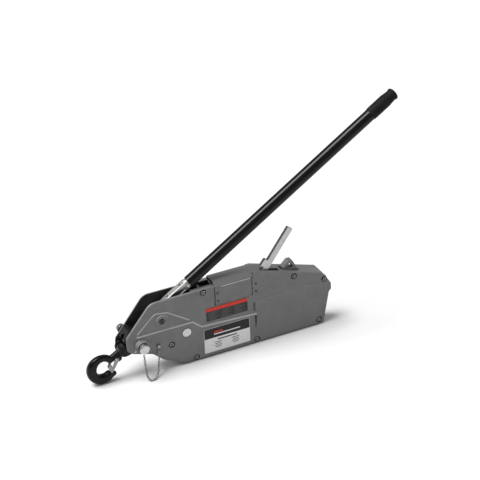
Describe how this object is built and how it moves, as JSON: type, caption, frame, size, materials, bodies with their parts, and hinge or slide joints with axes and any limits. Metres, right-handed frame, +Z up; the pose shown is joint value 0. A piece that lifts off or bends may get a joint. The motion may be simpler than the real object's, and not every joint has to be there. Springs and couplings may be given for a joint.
{
  "type": "come along winch",
  "caption": "Hand-operated wire rope grip puller: flat grey casing with hook, swinging forward lever with tube handle, reverse lever and rope release lever.",
  "frame": {"origin": "centre of the casing's flat base, on the plane half way between its two sides", "axes": "+X from the hook end to the rope inlet end, -Y the side with the nameplate, +Z up"},
  "size_m": [0.647, 0.0702, 0.4485],
  "materials": {
    "casing_paint": "satin grey paint on cast aluminium",
    "zinc_fastener": "zinc plated",
    "bright_steel": "plated, light wear",
    "dark_steel": "black oxide, oiled",
    "black_tube": "gloss black powder coat",
    "grip_rubber": "matt moulded rubber",
    "black_forging": "gloss black paint on forged steel",
    "nameplate_film": "printed film",
    "warning_film": "printed film"
  },
  "bodies": {
    "casing": {"casing_near": "casing_paint", "casing_far": "casing_paint", "top_cover": "casing_paint", "bolt_nose": "zinc_fastener", "bolt_base_front": "zinc_fastener", "bolt_flange": "zinc_fastener", "bolt_base_middle": "zinc_fastener", "bolt_release": "zinc_fastener", "bolt_rear_top": "zinc_fastener", "bolt_base_rear": "zinc_fastener", "pivot_bolt": "dark_steel", "cover_screw_1": "dark_steel", "cover_screw_2": "dark_steel", "cover_screw_3": "dark_steel", "cover_screw_4": "dark_steel", "nameplate": "nameplate_film", "warning_label": "warning_film", "lever_shaft": "dark_steel", "reverse_shaft": "dark_steel", "front_rope_guide": "black_forging", "guide_bolt": "zinc_fastener", "rear_rope_guide": "dark_steel", "anchor_chain": "bright_steel", "chain_screw": "zinc_fastener"},
    "forward_lever": {"forward_lever": "bright_steel", "shear_pin_1": "dark_steel", "shear_pin_2": "dark_steel"},
    "handle": {"handle_tube": "black_tube", "handle_grip": "grip_rubber"},
    "crank": {"drive_crank": "bright_steel"},
    "front_jaw": {"front_jaw_frame": "dark_steel", "front_jaw_upper": "dark_steel", "front_jaw_lower": "dark_steel", "front_link": "dark_steel"},
    "rear_jaw": {"rear_jaw_frame": "dark_steel", "rear_jaw_upper": "dark_steel", "rear_jaw_lower": "dark_steel", "rear_link": "dark_steel"},
    "reverse_lever": {"reverse_lever": "bright_steel"},
    "release_lever": {"release_lever": "casing_paint"},
    "anchor_pin": {"anchor_pin": "bright_steel"},
    "bracket": {"hook_bracket": "black_forging", "hook_pin": "black_forging"},
    "hook": {"hook": "black_forging", "latch_pin": "zinc_fastener"},
    "latch": {"latch": "bright_steel"}
  },
  "joints": [
    {"name": "forward_lever_swing", "type": "hinge", "parent": "casing", "child": "forward_lever", "pos_m": [-0.1905, 0, 0.1074], "axis": [0, -1, 0], "range_deg": [0, 70]},
    {"name": "handle_slide", "type": "slide", "parent": "forward_lever", "child": "handle", "axis": [0.8406, 0, 0.5417], "range_m": [0, 0.08]},
    {"name": "crank_turn", "type": "hinge", "parent": "casing", "child": "crank", "pos_m": [-0.1433, 0, 0.069], "axis": [0, -1, 0], "range_deg": [-29, 0]},
    {"name": "front_jaw_slide", "type": "slide", "parent": "casing", "child": "front_jaw", "axis": [1, 0, 0], "range_m": [0, 0.0135]},
    {"name": "rear_jaw_slide", "type": "slide", "parent": "casing", "child": "rear_jaw", "axis": [-1, 0, 0], "range_m": [0, 0.0135]},
    {"name": "reverse_lever_swing", "type": "hinge", "parent": "casing", "child": "reverse_lever", "pos_m": [0.0135, -0.0072, 0.134], "axis": [0, -1, 0], "range_deg": [-28, 0]},
    {"name": "release_lever_swing", "type": "hinge", "parent": "casing", "child": "release_lever", "pos_m": [0.081, 0, 0.123], "axis": [0, -1, 0], "range_deg": [-18, 10]},
    {"name": "anchor_pin_pull", "type": "slide", "parent": "casing", "child": "anchor_pin", "axis": [0, -1, 0], "range_m": [0, 0.05]},
    {"name": "bracket_swing", "type": "hinge", "parent": "casing", "child": "bracket", "pos_m": [-0.2325, 0, 0.0675], "axis": [0, 1, 0], "range_deg": [-40, 5]},
    {"name": "hook_swing", "type": "hinge", "parent": "bracket", "child": "hook", "pos_m": [-0.262, 0, 0.062], "axis": [0, 1, 0], "range_deg": [-45, 25]},
    {"name": "latch_open", "type": "hinge", "parent": "hook", "child": "latch", "pos_m": [-0.2795, 0, 0.0463], "axis": [0, 1, 0], "range_deg": [0, 18], "stiffness_Nm_per_rad": 0.02, "springref_deg": -11.46}
  ],
  "couplings": [
    {"joint": "crank_turn", "follows": "forward_lever_swing", "ratio": -0.41333},
    {"joint": "front_jaw_slide", "follows": "forward_lever_swing", "m_per_rad": 0.010981},
    {"joint": "rear_jaw_slide", "follows": "forward_lever_swing", "m_per_rad": 0.010981}
  ]
}
